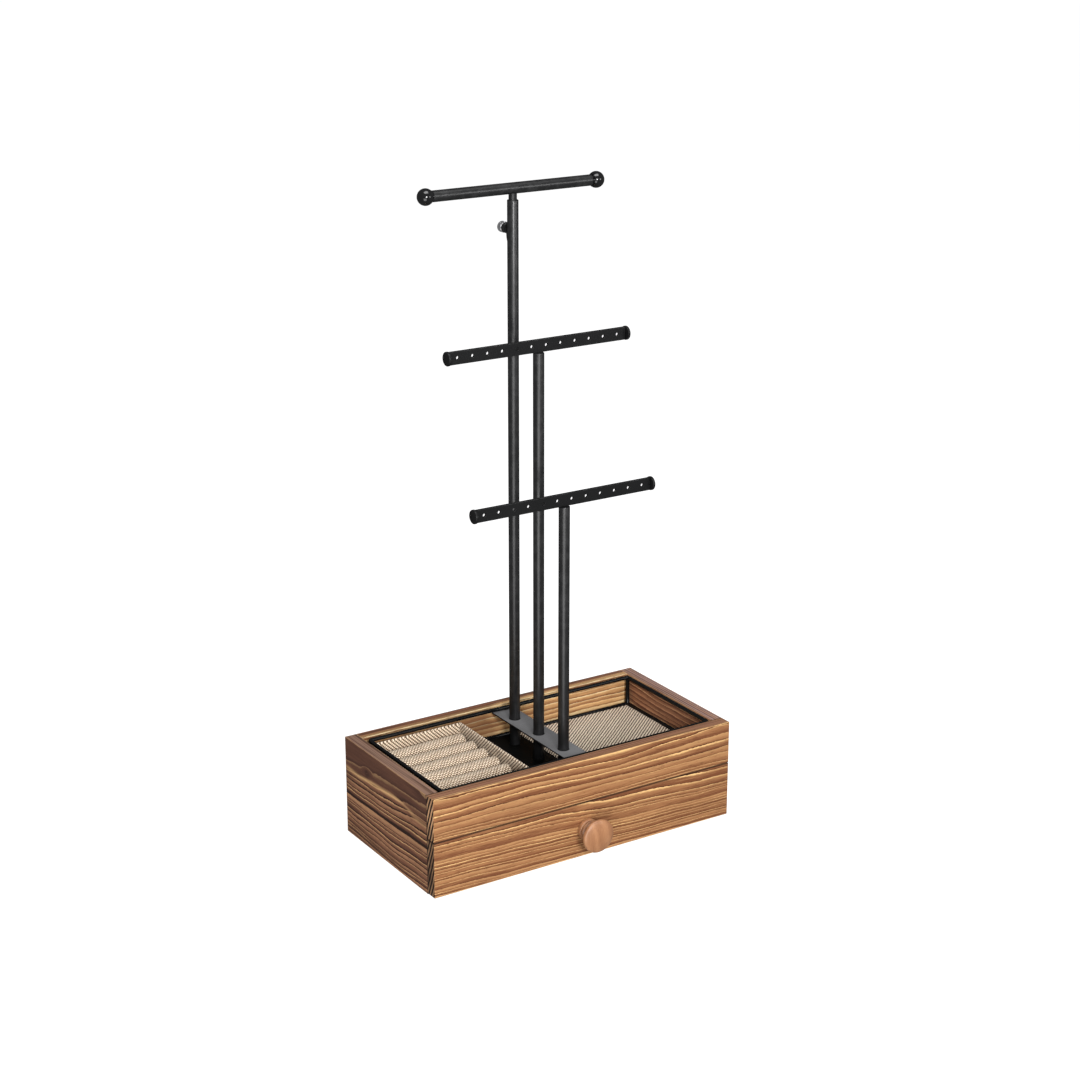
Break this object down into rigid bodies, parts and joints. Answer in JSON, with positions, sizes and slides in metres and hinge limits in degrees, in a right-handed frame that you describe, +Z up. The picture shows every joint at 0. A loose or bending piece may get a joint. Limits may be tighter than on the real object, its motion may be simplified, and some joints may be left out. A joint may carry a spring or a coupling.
{
  "type": "jewelry stand with drawer",
  "caption": "Wooden table-top jewelry box with a drawer, ring tray and black posts that carry perforated earring bars and a telescoping necklace bar.",
  "frame": {"origin": "on the surface the box stands on, under the centre of the wooden box (the knob, which sticks out to the front, isn't counted)", "axes": "+Z up, +X to the right along the front, -Y out of the front (the knob's side)"},
  "size_m": [0.3, 0.1747, 0.5631],
  "materials": {
    "torched_pine": "torched and brushed pine, warm brown with dark and honey-coloured grain, satin varnish",
    "knob_wood": "plain turned hardwood, satin varnish",
    "drawer_ply": "thin unfinished plywood",
    "black_powder_coat": "satin black powder coat",
    "gloss_black": "gloss black enamel",
    "linen": "coarse beige and brown linen weave",
    "chrome": "bright chrome, knurled",
    "zinc_steel": "zinc-plated steel",
    "nylon": "natural nylon"
  },
  "bodies": {
    "root": {"side_board_left": "torched_pine", "side_board_right": "torched_pine", "back_board": "torched_pine", "front_rail": "torched_pine", "mid_floor": "drawer_ply", "bottom_panel": "drawer_ply", "top_rail_front": "black_powder_coat", "top_rail_back": "black_powder_coat", "top_rail_left": "black_powder_coat", "top_rail_right": "black_powder_coat", "bottom_rail_front": "black_powder_coat", "bottom_rail_back": "black_powder_coat", "bottom_rail_left": "black_powder_coat", "bottom_rail_right": "black_powder_coat", "corner_bar_front_left": "black_powder_coat", "corner_bar_front_right": "black_powder_coat", "corner_bar_back_left": "black_powder_coat", "corner_bar_back_right": "black_powder_coat", "post_plate": "black_powder_coat", "post_back": "black_powder_coat", "post_middle": "black_powder_coat", "post_front": "black_powder_coat", "earring_bar_middle": "black_powder_coat", "earring_bar_front": "black_powder_coat", "bar_cap_middle_left": "black_powder_coat", "bar_cap_middle_right": "black_powder_coat", "bar_cap_front_left": "black_powder_coat", "bar_cap_front_right": "black_powder_coat", "lock_boss": "black_powder_coat", "base_plate": "gloss_black", "floor_liner": "linen", "post_screw_back": "zinc_steel", "post_screw_middle": "zinc_steel", "post_screw_front": "zinc_steel"},
    "drawer": {"drawer_front": "torched_pine", "drawer_side_left": "drawer_ply", "drawer_side_right": "drawer_ply", "drawer_back": "drawer_ply", "drawer_bottom": "drawer_ply", "drawer_liner": "linen", "drawer_knob": "knob_wood", "knob_screw": "zinc_steel"},
    "mast_guide": {"mast_bush": "nylon"},
    "mast": {"mast_rod": "black_powder_coat", "crossbar": "black_powder_coat", "ball_end_left": "gloss_black", "ball_end_right": "gloss_black"},
    "screw_tip": {"screw_pad": "nylon"},
    "lock_screw": {"thumb_screw": "chrome"},
    "tray": {"ring_tray": "linen", "ring_roll_1": "linen", "ring_roll_2": "linen", "ring_roll_3": "linen", "ring_roll_4": "linen", "ring_roll_5": "linen", "ring_roll_6": "linen"}
  },
  "joints": [
    {"name": "drawer_slide", "type": "slide", "parent": "root", "child": "drawer", "axis": [0, -1, 0], "range_m": [0, 0.105]},
    {"name": "mast_slide", "type": "slide", "parent": "root", "child": "mast_guide", "axis": [0, 0, 1], "range_m": [0, 0.1]},
    {"name": "mast_swivel", "type": "hinge", "parent": "mast_guide", "child": "mast", "pos_m": [0, 0.0395, 0.556], "axis": [0, 0, 1], "continuous": true},
    {"name": "pad_travel", "type": "slide", "parent": "root", "child": "screw_tip", "axis": [0, 1, 0], "range_m": [0, 0.0021]},
    {"name": "screw_turn", "type": "hinge", "parent": "screw_tip", "child": "lock_screw", "pos_m": [0, 0.0545, 0.5218], "axis": [0, 1, 0], "range_deg": [0, 1081]},
    {"name": "tray_lift", "type": "slide", "parent": "root", "child": "tray", "axis": [0, 0, 1], "range_m": [0, 0.06]}
  ],
  "couplings": [
    {"joint": "screw_turn", "follows": "pad_travel", "rad_per_m": 8976}
  ]
}
